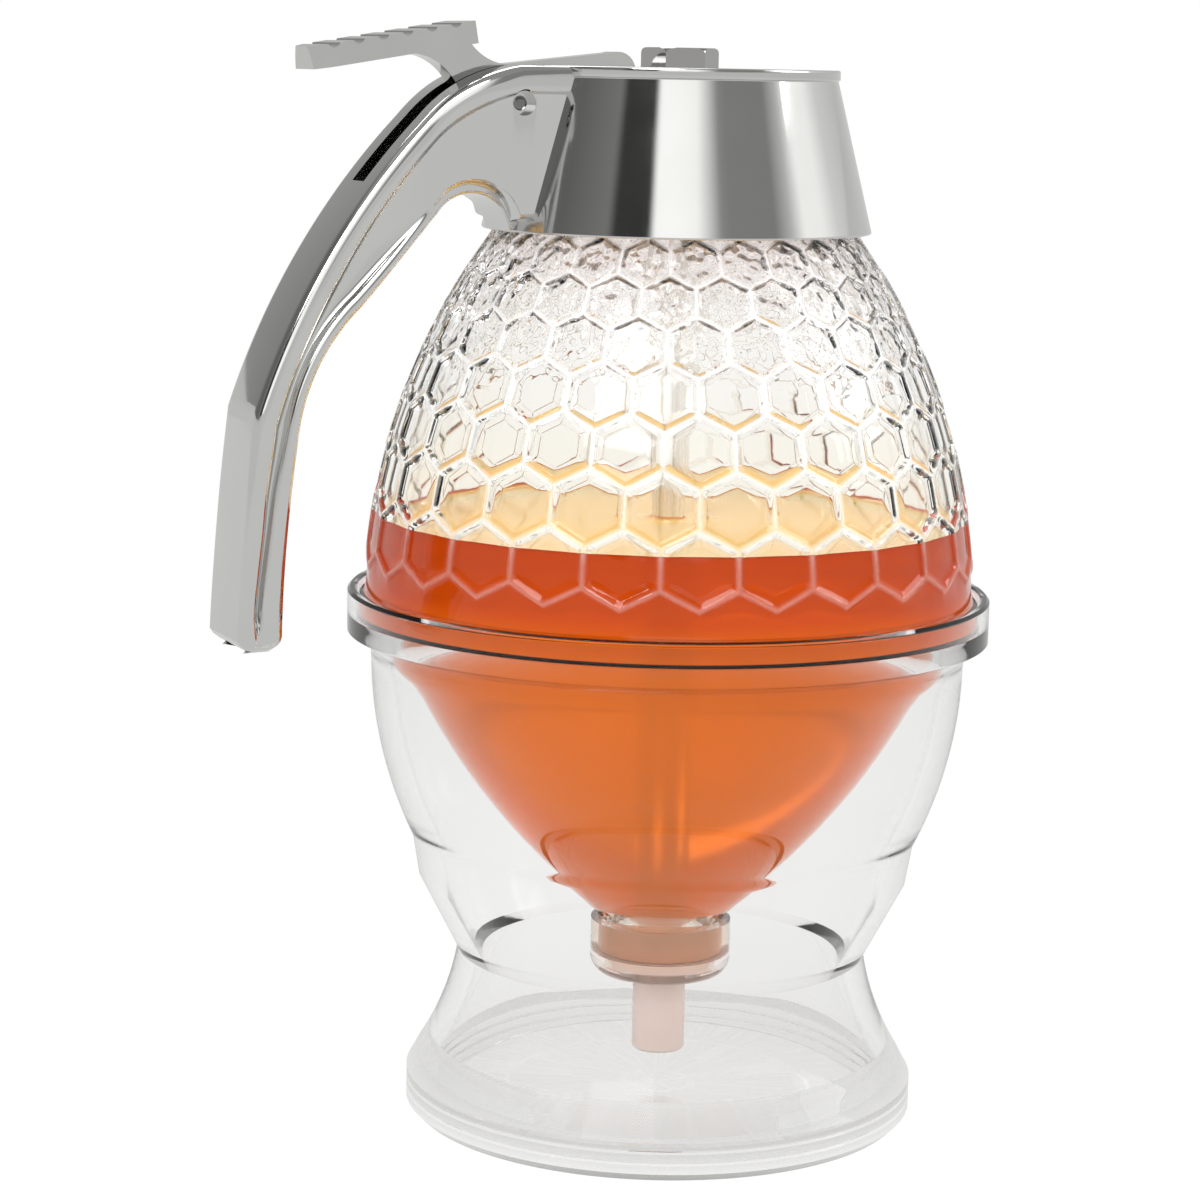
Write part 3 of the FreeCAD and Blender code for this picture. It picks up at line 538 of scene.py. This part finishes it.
def make_jar():
    bm = bmesh.new()
    unit = TURN / SIDES
    crests = bm.verts.layers.float.new(RIDGE_LAYER)

    def vert(i, z, sink=0.0):
        """Vertex of the dome at mesh step i, sink mm under the crests."""
        r = (DOME(z) - sink) * MM
        v = bm.verts.new((r * math.cos(i * unit), r * math.sin(i * unit), z * MM))
        v[crests] = max(0.0, 1 - sink / 0.2)
        return v

    def cell(k, middle):
        """One cell of row k, from the crests round it in to its middle at that mesh step."""
        middle_z = ROW_Z[k + 1]
        half = DOME(middle_z) * math.pi / AROUND
        scale = (half / HALF_CELL) ** 0.6
        left, right = middle - STEPS, middle + STEPS
        low, high = crest(k, right), crest(k + 1, right)
        outline = [(i, crest(k, i)) for i in range(left, right + 1)]
        outline += [(right, low + (high - low) * t / STEPS) for t in range(1, STEPS)]
        outline += [(i, crest(k + 1, i)) for i in range(right, left - 1, -1)]
        outline += [(left, high + (low - high) * t / STEPS) for t in range(1, STEPS)]
        last = [vert(i, z) for i, z in outline]
        for d in INSETS + (2.2,):
            share = 1 - d * scale / half
            here = [vert(middle + (i - middle) * share, middle_z + (z - middle_z) * share,
                         below_crest(d * scale, half)) for i, z in outline]
            span(bm, last, here)
            last = here
        span(bm, last, [vert(middle, middle_z, below_crest(3, half) * 0.93)])

    def skirt(k, way, ends):
        """From the outermost zigzag, over its ridge, to a plain ring."""
        last = [vert(i, crest(k, i)) for i in range(SIDES)]
        for d in INSETS:
            sink = below_crest(d, HALF_CELL) * 0.8
            here = [vert(i, crest(k, i) + way * d, sink) for i in range(SIDES)]
            span(bm, last, here)
            last = here
        for z, sink in ends:
            here = [vert(i, z, sink) for i in range(SIDES)]
            span(bm, last, here)
            last = here
        return last

    for k in range(ROWS):
        for j in range(AROUND):
            cell(k, (2 * j + k % 2) * STEPS)
    foot = skirt(0, -1, [(71.6, 0.34), (70.7, 0.22)])
    crown = skirt(ROWS, 1, [(ROW_Z[-1] + 2.0, 0.3), (ROW_Z[-1] + 2.6, 0.12)])
    bmesh.ops.remove_doubles(bm, verts=bm.verts, dist=2e-6)

    # from the foot down the outside, up the inside, over the neck and down to the crown
    rim = softened([(41.0, SEAT), (41.0, 69.9), (DOME(70.1) - 0.1, 70.0),
                    (DOME(70.7) - 0.22, 70.7)], [0, 0.5, 0.25, 0])
    outline = rim[-2::-1] + stretch(FUNNEL, SEAT, 29.5, 26)
    outline += [(9.2, 27.9), (8.4, 26.9), (PIPE, 26.9), (PIPE, OUTLET), (BORE, OUTLET),
                (BORE, 27.6)]
    outline += INSIDE_FUNNEL + stretch(DOME, 70.4, NECK, 30, WALL)
    outline += [(NECK_BORE, NECK + 4.5), (NECK_BORE, PLATE), (NECK_RADIUS, PLATE),
                (NECK_RADIUS, 129.5)]
    outline += stretch(DOME, 128.3, ROW_Z[-1] + 3.4, 8)
    last = foot
    for r, z in outline:
        here = ring(bm, r * MM, z * MM, SIDES)
        span(bm, last, here)
        last = here
    span(bm, last, crown)
    return bm


jar = piece("honeycomb_jar", make_jar(), ACRYLIC, "dispenser", "jar", sharp=40)
# shadow and diffuse rays don't meet the jar, so that light reaches the honey
jar.visible_shadow = False
jar.visible_diffuse = False


# ---- Stand and honey -------------------------------------------------------------------------

STAND_WALL = 3.0
FOOT_RADIUS = 34.1
HONEY_TOP = 79.9
INTO_WALL = 0.22                # the honey reaches into the jar's wall, so that no air gap shows


def make_stand():
    foot = sweep((32.8, 7.6), (27.4, 21.7), 37.0, hollow=True)
    bowl = sweep((33.6, 37.4), (39.3, 62.4), 55.0)
    outer = [(r, 0) for r in (0, 4, 12, 20, 28, 33.0)] + [(FOOT_RADIUS, 1.1)]
    for groove in (2.45, 3.95):
        outer += [(FOOT_RADIUS, groove - 0.25), (FOOT_RADIUS - 0.25, groove),
                  (FOOT_RADIUS, groove + 0.25)]
    outer += [(FOOT_RADIUS, 5.2), (33.45, 6.3), (32.8, 7.6)] + stretch(foot, 8.6, 21.2, 12)
    outer += [(27.4, 21.9), (32.7, 32.1), (33.6, 37.4)] + stretch(bowl, 38.6, 61.2, 18)
    outer += [(39.4, 62.6), (40.0, 63.9), (41.7, 64.8), (42.5, 65.1), (42.5, 70.3), (42.1, 70.7)]
    outer += [(41.5, 70.7), (41.3, 70.4), (41.3, SEAT), (37.7, SEAT), (36.3, 64.4)]
    inner = stretch(bowl, 63.0, 38.0, 18, STAND_WALL)
    inner += [(29.7, 32.1), (24.4, 21.7)] + stretch(foot, 20.4, 8.6, 10, STAND_WALL)
    inner += [(r, 3.2) for r in (27.6, 20, 12, 4, 0)]
    return lathe(outer + inner, 256)


def make_honey():
    walls = INSIDE_FUNNEL + stretch(DOME, 70.4, HONEY_TOP, 6, WALL)
    edge = DOME(HONEY_TOP, WALL)
    # it creeps up the wall and the rod a little: (r, height over its level)
    top = [(edge + 0.2, 0.55), (edge - 0.12, 0.3), (edge - 0.5, 0.08), (edge - 1.1, 0),
           (edge - 4, 0), (edge - 12, 0), (8, 0), (4.4, 0), (3.2, 0.12), (2.7, 0.35), (2.3, 0.6)]
    return lathe([(2.3, 21.9), (5.5, 21.9), (5.5, 28.0)]
                 + [(r + INTO_WALL, z) for r, z in walls]
                 + [(r, HONEY_TOP + up) for r, up in top], 208)


piece("clear_stand", make_stand(), STAND_ACRYLIC, "dispenser", "stand", sharp=28)
piece("honey_fill", make_honey(), AMBER, "dispenser", "honey", sharp=40)


# ---- Cap and handle --------------------------------------------------------------------------

# Matching points (x, z) of the handle's outer and inner edge, from its tail to the cap
OUTER = end_to_end(arc((-61.9, 67.8), (-61.0, 81.9), (-59.6, 96.1), 20),
                   arc((-59.6, 96.1), (-50.9, 114.8), (-37.3, 132.3), 36),
                   arc((-37.3, 132.3), (-31.6, 136.8), (-25.5, 138.85), 16),
                   line((-25.5, 138.85), (-16.5, 138.85), 8))
INNER = end_to_end(arc((-56.0, 68.1), (-55.5, 79.4), (-54.1, 92.6), 20),
                   arc((-54.1, 92.6), (-51.6, 101.3), (-45.9, 109.0), 18),
                   line((-45.9, 109.0), (-35.6, 120.5), 18),
                   arc((-35.6, 120.5), (-30.4, 122.9), (-25.4, 118.2), 16),
                   line((-25.4, 118.2), (-16.5, 118.2), 8))
# Its rounded tail, upwards: outer point, inner point, what is taken off its half width
TAIL = [((-59.2, 66.0), (-57.6, 66.05), 2.4), ((-60.0, 66.2), (-56.9, 66.35), 1.5),
        ((-60.9, 66.65), (-56.4, 66.95), 0.7), ((-61.55, 67.2), (-56.1, 67.5), 0.2)]
CAP_FOOT, CAP_TOP = 118.0, 138.9
SLOT_FLOOR = 136.3              # height of the lever's slot in the cap's top
SLOT_DEPTH = 4.8                # its depth in the handle's spine
SLOT_START = -44.6              # x where it starts, down the handle
SLOT_HALF_WIDTH = 2.0


def handle_section(depth, n):
    """Half a section at point n, as (depth, half width) from the outer to the inner edge."""
    wide = between(n, [(40, 6.15), (56, 6.3), (70, 8.0), (80, 8.5)])
    web = between(n, [(0.5, 6.0), (2.5, 5.0), (44, 5.0), (58, 5.6), (70, 7.5), (80, 8.1)])
    rim = between(n, [(40, 6.15), (62, 5.2), (72, 4.0), (80, 3.7)])
    spine = between(n, [(0, 1.9), (12, 2.5), (20, 3.1)])
    lower = between(n, [(0, 2.9), (12, 2.2), (22, 1.6), (50, 1.3)])
    lip = 0.45
    path = [(0, 0), (0, wide), (spine, wide), (spine + lip, web), (depth - lower - lip, web),
            (depth - lower, rim), (depth, rim), (depth, 0)]
    cuts = [0, between(n, [(0, 1.5), (20, 2.3), (60, 1.9), (80, 0.9)]), 0.8, 0.7, 0.9, 0.6,
            between(n, [(0, 1.2), (20, 0.75)]), 0]
    return evenly_softened(path, cuts, 5)


def make_handle():
    bm = bmesh.new()

    def section(outer, inner, n, shrink=0.0):
        """One loop of vertices across the handle."""
        outer, inner = Vector(outer), Vector(inner)
        depth = (inner - outer).length
        way = (inner - outer) / depth
        half = handle_section(depth, n)
        loop = []
        for d, w in half + [(d, -w) for d, w in half[-2:0:-1]]:
            q = outer + way * d
            w = math.copysign(max(abs(w) - shrink, 0), w)
            loop.append(bm.verts.new((q.x * MM, w * MM, q.y * MM)))
        return loop

    loops = [section(outer, inner, 0, shrink) for outer, inner, shrink in TAIL]
    loops += [section(outer, inner, n) for n, (outer, inner) in enumerate(zip(OUTER, INNER))]
    return closed_tube(bm, loops)


def make_shell():
    path = [(25.5, CAP_FOOT), (20.6, 137.5), (20.85, 137.65), (20.85, CAP_TOP), (6.9, CAP_TOP),
            (6.9, SLOT_FLOOR), (2.5, SLOT_FLOOR), (2.5, PLATE), (19.6, PLATE), (23.9, CAP_FOOT)]
    radii = [0.25, 0.1, 0.12, 0.3, 0.25, 0.2, 0.1, 0.1, 0.3, 0.15]
    return lathe(softened(path, radii, closed=True), 224)


def slot_cutter():
    """The lever's slot: up the handle's spine and across the cap's top."""
    spine = [p for p in OUTER if p[0] > SLOT_START]
    floor = []
    for x, z in spine:
        lean = between(x, [(-44, 0.72), (-30, 0.35), (-25, 0.0)])
        down = math.sqrt(1 - lean ** 2) * SLOT_DEPTH
        floor.append((x + lean * SLOT_DEPTH, z - down if x < -27 else SLOT_FLOOR))
    outline = [(x - 2.0, z + 2.0) for x, z in spine]
    outline += [(-5.0, 141.0), (-5.0, SLOT_FLOOR)] + floor[::-1]
    bm = bmesh.new()
    return closed_tube(bm, [[bm.verts.new((x * MM, y * MM, z * MM)) for x, z in outline]
                            for y in (-SLOT_HALF_WIDTH, SLOT_HALF_WIDTH)])


def pin_recess(side):
    """Shallow round hole in one side of the handle, over the pivot pin's end, in metres."""
    low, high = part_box("pivot_pin")
    x, z = (low.x + high.x) / 2, (low.z + high.z) / 2
    hole, flare, sides = 0.00155, 0.0046, 40
    bm = bmesh.new()
    loops = []
    for y, r in ((high.y - 0.0001, hole), (0.0078, hole), (0.012, flare)):
        loops.append([bm.verts.new((x + r * math.cos(TURN * i / sides), side * y,
                                    z + r * math.sin(TURN * i / sides))) for i in range(sides)])
    return closed_tube(bm, loops)


grip = make_handle()
for cutter in (slot_cutter(), pin_recess(1), pin_recess(-1)):
    grip = carved(grip, cutter)
piece("cap_handle", grip, CHROME, "dispenser", "cap", sharp=32)
piece("cap_shell", carved(make_shell(), slot_cutter()), CHROME, "dispenser", "cap", sharp=32)


# ---- CAD nodes that stay ---------------------------------------------------------------------

def eased(name, width):
    """Rounds the edges of a CAD node, by a width in mm."""
    obj = NODES[name]
    flat = obj.modifiers.new("flat", "DECIMATE")
    flat.decimate_type = "DISSOLVE"
    flat.angle_limit = math.radians(1.0)
    edge = obj.modifiers.new("edge", "BEVEL")
    edge.width = width * MM
    edge.segments = 2
    edge.limit_method = "ANGLE"
    edge.angle_limit = math.radians(38)
    edge.use_clamp_overlap = True
    edge.harden_normals = False


for name, mat in (("lever", LEVER_CHROME_PAINTED_SHADE), ("pivot_pin", PIN_PAINTED_SHADE), ("plunger_knob", NUT_CHROME_PAINTED_SHADE),
                  ("plunger_rod", ROD_STEEL), ("outlet_collar", TINTED), ("nozzle", SILICONE)):
    dress(NODES[name], mat)
eased("lever", 0.35)
eased("plunger_knob", 0.3)


# ---- Studio ----------------------------------------------------------------------------------

def studio():
    """A world that is white to the eye, and darker upwards where metal mirrors it."""
    world = bpy.data.worlds.new("studio")
    bpy.context.scene.world = world
    g = Graph(world)
    path = g.add("ShaderNodeLightPath")
    white = g.add("ShaderNodeBackground", Color=(1, 1, 1, 1), Strength=1.0)
    soft = g.add("ShaderNodeBackground", Color=(0.97, 0.985, 1, 1), Strength=1.0)
    mirrored = g.add("ShaderNodeBackground", Color=(1, 1, 0.985, 1))
    # what clear plastic mirrors on its inside is never darker than this
    glassy = g.calc("MINIMUM", path.outputs["Transmission Depth"], 0.6)
    fading = g.height(0.05, 0.5, 0.66, 0.34, space="Generated")
    g.join(g.calc("MAXIMUM", fading, glassy), mirrored.inputs["Strength"])
    lit = g.mix(path.outputs["Is Glossy Ray"], soft.outputs[0], mirrored.outputs[0])
    seen = g.calc("MAXIMUM", path.outputs["Is Camera Ray"], path.outputs["Is Transmission Ray"])
    g.surface(g.mix(seen, lit, white.outputs[0]))


def make_floor():
    """Round floor that keeps the object's shadow and turns to plain white far from it."""
    reach, rings, sides = 3.0, 24, 48
    bm = bmesh.new()
    last = [bm.verts.new((0, 0, 0))]
    for k in range(1, rings + 1):
        here = ring(bm, reach * (k / rings) ** 2, 0, sides)
        span(bm, here, last)
        last = here
    obj = solid("floor", bm)
    g = material("floor_white")
    diffuse = g.add("ShaderNodeBsdfDiffuse")
    g.join(g.tint(g.spots(3, 2), [(0.3, (0.86, 0.86, 0.86)), (0.7, (0.88, 0.88, 0.88))]),
           diffuse.inputs["Color"])
    glow = g.add("ShaderNodeEmission", Color=(1, 1, 1, 1), Strength=1.0)
    dim = g.add("ShaderNodeEmission", Color=(1, 1, 0.985, 1), Strength=0.72)
    path = g.add("ShaderNodeLightPath")
    through = path.outputs["Transmission Depth"]
    seen = g.calc("MAXIMUM", path.outputs["Is Camera Ray"], through, clamp=True)
    place = g.add("ShaderNodeTexCoord")
    far = g.add("ShaderNodeVectorMath", operation="LENGTH")
    g.join(place.outputs["Object"], far.inputs[0])
    share = g.calc("MULTIPLY", seen, g.spread(far.outputs["Value"], 0.84, 1.0, 0.06, 0.30))
    lit = g.mix(share, diffuse.outputs[0], glow.outputs[0])
    # a ray that came through glass counts as glossy too, but it sees the floor itself
    mirrored = g.calc("SUBTRACT", path.outputs["Is Glossy Ray"], through, clamp=True)
    g.surface(g.mix(mirrored, lit, dim.outputs[0]))
    dress(obj, g.owner)


def surround():
    """Upright ring of light and dark panels, which only polished metal and gloss reflect."""
    radius, bottom, top, sides = 1.6, 0.30, 1.6, 180
    bm = bmesh.new()
    span(bm, ring(bm, radius, top, sides), ring(bm, radius, bottom, sides))
    obj = solid("surround", bm)
    g = material("surround_panels")
    place = g.add("ShaderNodeTexCoord")
    turn = g.add("ShaderNodeVectorRotate", rotation_type="Z_AXIS", Angle=math.radians(-63.7))
    wheel = g.add("ShaderNodeTexGradient", gradient_type="RADIAL")
    g.join(place.outputs["Object"], turn.inputs["Vector"])
    g.join(turn.outputs[0], wheel.inputs["Vector"])
    # brightness by share of the way round
    tones = [(0.0, 1.0), (0.035, 0.95), (0.075, 0.24), (0.09, 0.205), (0.17, 0.20), (0.20, 0.45),
             (0.228, 0.9), (0.27, 0.88), (0.31, 0.62), (0.38, 0.50), (0.5, 0.38), (0.62, 0.24),
             (0.72, 0.12), (0.80, 0.11), (0.885, 0.17), (0.90, 0.032), (0.955, 0.03),
             (0.966, 1.0)]
    panels = g.tint(wheel.outputs["Fac"], [(at, (v, v, v * 0.985)) for at, v in tones])
    # what clear plastic mirrors on its inside is mostly an even grey
    path = g.add("ShaderNodeLightPath")
    glassy = g.spread(path.outputs["Transmission Depth"], 0.0, 0.75, 0.0, 1.0)
    glow = g.add("ShaderNodeEmission", Strength=1.34)
    g.join(g.blend(glassy, panels, (0.44, 0.44, 0.435, 1)), glow.inputs["Color"])
    g.surface(glow.outputs[0])
    dress(obj, g.owner)
    for rays in ("camera", "diffuse", "transmission", "volume_scatter", "shadow"):
        setattr(obj, "visible_" + rays, False)


def lamp(name, place, size, power):
    """Soft box that shines on the middle of the object."""
    data = bpy.data.lights.new(name, "AREA")
    data.shape = "RECTANGLE"
    data.size, data.size_y = size
    data.energy = power
    obj = linked(name, data)
    obj.location = place
    aim = Vector((0, 0, 0.08)) - Vector(place)
    obj.rotation_euler = aim.to_track_quat("-Z", "Y").to_euler()


def camera():
    """The photograph's view, in metres from the jar's axis and the floor, and degrees."""
    distance, height = 0.430, 0.1396
    azimuth, pitch, yaw, roll = (math.radians(v) for v in (-26.3, 9.35, 1.2, 1.1))
    place = Vector((distance * math.sin(azimuth), -distance * math.cos(azimuth), height))
    level = Matrix.Rotation(yaw, 3, "Z") @ Vector((-math.sin(azimuth), math.cos(azimuth), 0))
    forward = level * math.cos(pitch) + Vector((0, 0, -math.sin(pitch)))
    level_right = Vector((level.y, -level.x, 0))
    level_up = level_right.cross(forward)
    right = level_right * math.cos(roll) + level_up * math.sin(roll)
    up = level_up * math.cos(roll) - level_right * math.sin(roll)
    data = bpy.data.cameras.new("camera")
    data.sensor_width = 36
    data.lens = 98.25
    data.clip_start = 0.01
    obj = linked("camera", data)
    turned = Matrix((right, up, -forward)).transposed().to_4x4()
    obj.matrix_world = Matrix.Translation(place) @ turned
    bpy.context.scene.camera = obj


studio()
make_floor()
surround()
camera()
lamp("key", (-0.7, -0.7, 1.0), (0.7, 0.7), 11)
lamp("fill", (0.9, -0.4, 0.7), (0.6, 0.6), 4.5)
lamp("back", (0.1, 0.9, 0.9), (0.8, 0.5), 5)
bpy.context.scene.view_settings.view_transform = "Standard"
bpy.context.scene.cycles.max_bounces = 12
bpy.context.scene.cycles.transmission_bounces = 12
